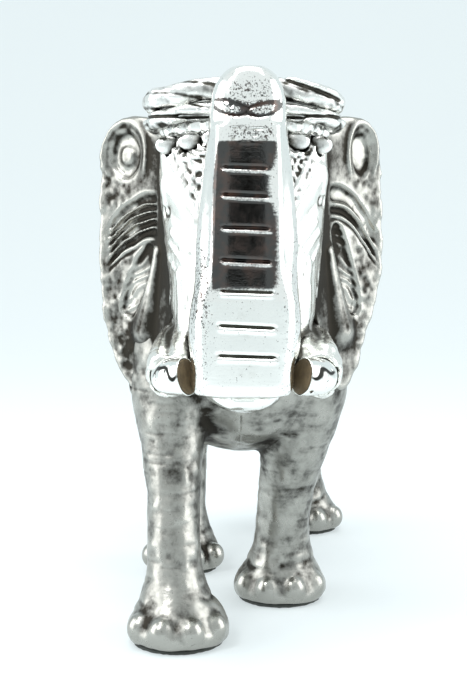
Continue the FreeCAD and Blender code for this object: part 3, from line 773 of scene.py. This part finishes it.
def build_silver():
    skin = silver("silver_skin", (0.84, 0.84, 0.80), (0.07, 0.066, 0.056), patina=0.28,
                  rough=(0.24, 0.5))
    # a darker copy of the silver for the ears, legs, body and tail: its low base colour is partly
    # heavier patina and partly painted shade, standing in for the dark reflections down the legs and
    # body
    hide_patina_and_painted_shade = silver("silver_hide_patina_and_painted_shade", (0.40, 0.395, 0.365), (0.03, 0.027, 0.022), patina=0.36,
                  mottle=0.3, rough=(0.26, 0.5))
    cloth = silver("silver_cloth", (0.88, 0.88, 0.85), (0.05, 0.048, 0.04), patina=0.26, mottle=0.28,
                   rough=(0.2, 0.45))
    polished = silver("silver_polished", (0.93, 0.94, 0.91), (0.02, 0.02, 0.018), patina=0.02,
                      mottle=0.14, rough=(0.12, 0.35))
    piece = sculpt("trunk", 0.34, trunk_detail, neighbours=["head", "lower_lip"], k=1.0)
    mark_trunk_tarnish_and_painted_reflection(piece)
    finish_piece(piece, trunk_silver(), ["trunk"])

    piece = sculpt("head", 0.42, head_detail, k=2.0)
    finish_piece(piece, skin, ["head"])
    piece = sculpt("lower_lip", 0.35, lip_detail, k=0.8)
    finish_piece(piece, polished, ["lower_lip"])
    for name in ("ear_right", "ear_left"):
        piece = sculpt(name, 0.34, ear_detail(name), neighbours=["head"], k=0.8, soften=0.8)
        finish_piece(piece, hide_patina_and_painted_shade, [name])
    for i, name in enumerate(n for n in SKIN if n.startswith("leg_")):
        piece = sculpt(name, 0.42, leg_detail(name, 50 + 5 * i))
        finish_piece(piece, hide_patina_and_painted_shade, [name])
    for name in ("body_shell_right", "body_shell_left"):
        piece = sculpt(name, 0.52, skin_detail())
        finish_piece(piece, hide_patina_and_painted_shade, [name])
    piece = sculpt("tail", 0.4, skin_detail(0.2))
    finish_piece(piece, hide_patina_and_painted_shade, ["tail"])

    piece = wrap("headdress_cap", 0.45, (0.25, 0.0, 0.5), 61)
    finish_piece(piece, cloth, ["headdress_cap"])
    piece = wrap("headdress_roll_upper", 0.35, (0.35, 1.6, 0.35), 63)
    finish_piece(piece, cloth, ["headdress_roll_upper"])
    piece = wrap("headdress_roll_lower", 0.35, (0.5, 1.9, 0.5), 65)
    finish_piece(piece, cloth, ["headdress_roll_lower"])
    piece = sculpt("forehead_plate", 0.32, plate_detail, neighbours=[], soften=0.7)
    finish_piece(piece, cloth, ["forehead_plate"])
    piece = sculpt("saddle_cloth", 0.5, cloth_detail, neighbours=[], soften=0.7)
    finish_piece(piece, cloth, ["saddle_cloth"])
    for side in ("right", "left"):
        piece = sculpt("tusk_" + side, 0.22, tusk_detail, neighbours=[], soften=0.5)
        finish_piece(piece, polished, ["tusk_" + side])


def felt_detail(grid, d):
    return np.maximum(d + grid.noise(1.0, 91) * 0.1, -grid.z)


def build_plain():
    core = simple_material("tusk_core", (0.12, 0.085, 0.045), 0.0, 0.55)
    steel = simple_material("peg_steel", (0.45, 0.45, 0.45), 1.0, 0.4)
    felt = simple_material("felt", (0.05, 0.055, 0.05), 0.0, 0.95, grain=2500.0)
    for name, node in NODES.items():
        material = core if name.startswith("tusk_core") else steel if "peg" in name \
            or name == "belly_plug" else None
        if material:
            node.data.materials.clear()
            node.data.materials.append(material)
    for foot in ("front_right", "front_left", "rear_right", "rear_left"):
        piece = sculpt("felt_pad_" + foot, 0.3, felt_detail, neighbours=[], soften=0.6)
        finish_piece(piece, felt, ["felt_pad_" + foot])


def tusk_detail(grid, d):
    low, high = BOXES["tusk_right"]
    # painted reflection: a dark wavy line along the front of each tusk, passed on as extra tone
    level = (low[2] + high[2]) / 2 + 1.4 + grid.noise(2.6, 72) * 1.8
    line = np.exp(-((grid.z - level) / 0.6) ** 2) * smooth_step(low[1] + 9, low[1] + 7, grid.y)
    return d + grid.noise(2.5, 71) * 0.08, line * 1.4


# --- stage ----------------------------------------------------------------------------------
def emitter(name, place, target, size, power):
    light = bpy.data.lights.new(name, "AREA")
    light.shape = "RECTANGLE"
    light.size, light.size_y = size
    light.energy = power
    lamp = bpy.data.objects.new(name, light)
    lamp.location = place
    lamp.rotation_euler = (Vector(target) - Vector(place)).to_track_quat("-Z", "Y").to_euler()
    bpy.context.scene.collection.objects.link(lamp)


def flat_mesh(name, rows):
    """A sheet through rows of points, smooth shaded."""
    wide = len(rows[0])
    points = [p for row in rows for p in row]
    faces = [(i * wide + j, i * wide + j + 1, (i + 1) * wide + j + 1, (i + 1) * wide + j)
             for i in range(len(rows) - 1) for j in range(wide - 1)]
    mesh = bpy.data.meshes.new(name)
    mesh.from_pydata(points, [], faces)
    for face in mesh.polygons:
        face.use_smooth = True
    sheet = bpy.data.objects.new(name, mesh)
    bpy.context.scene.collection.objects.link(sheet)
    return sheet


def build_stage():
    profile = [(-3.0, 0.0), (0.6, 0.0)]
    profile += [(0.6 + 1.2 * math.sin(a), 1.2 - 1.2 * math.cos(a))
                for a in (math.radians(5 * k) for k in range(1, 19))]
    profile.append((1.8, 4.0))
    sweep = flat_mesh("stage_sweep", [[(-4, y, z), (4, y, z)] for y, z in profile])
    material, _, shader = node_tree("stage_sweep")
    shader.inputs["Base Color"].default_value = (0.42, 0.45, 0.46, 1)
    shader.inputs["Roughness"].default_value = 0.8
    shader.inputs["Emission Color"].default_value = (0.84, 0.91, 0.92, 1)
    shader.inputs["Emission Strength"].default_value = 0.48
    sweep.data.materials.append(material)
    card = flat_mesh("stage_card", [[(-0.06, -0.72, 0.185), (0.06, -0.72, 0.185)],
                                    [(-0.06, -0.72, 0.315), (0.06, -0.72, 0.315)]])
    material, _, shader = node_tree("stage_card")
    shader.inputs["Base Color"].default_value = (0.03, 0.025, 0.02, 1)
    shader.inputs["Roughness"].default_value = 0.9
    card.data.materials.append(material)
    bpy.context.scene.view_settings.view_transform = "Standard"
    world = bpy.data.worlds.new("studio")
    bpy.context.scene.world = world
    world.use_nodes = True
    background = world.node_tree.nodes["Background"]
    background.inputs["Color"].default_value = (0.84, 0.91, 0.925, 1)
    background.inputs["Strength"].default_value = 1.0
    middle = (0, 0, 0.08)
    emitter("side_right", (-0.60, -0.10, 0.28), middle, (0.5, 0.6), 2.2)
    emitter("side_left", (0.60, -0.10, 0.28), middle, (0.5, 0.6), 2.2)
    emitter("top", (0.0, -0.12, 0.75), middle, (0.5, 0.5), 2.8)
    emitter("key", (-0.30, -0.42, 0.55), middle, (0.16, 0.16), 1.6)


def build_camera():
    camera = bpy.data.cameras.new("camera")
    camera.lens, camera.sensor_width = 66.9, 36.0
    camera.clip_start = 0.01
    holder = bpy.data.objects.new("camera", camera)
    holder.location = Vector((HEAD_X - 2.8, TOES_Y - 351.0, 122.2)) * MM
    holder.rotation_euler = (math.radians(90 - 5.9), 0, 0)
    bpy.context.scene.collection.objects.link(holder)
    bpy.context.scene.camera = holder


build_camera()
build_silver()
build_plain()
build_stage()
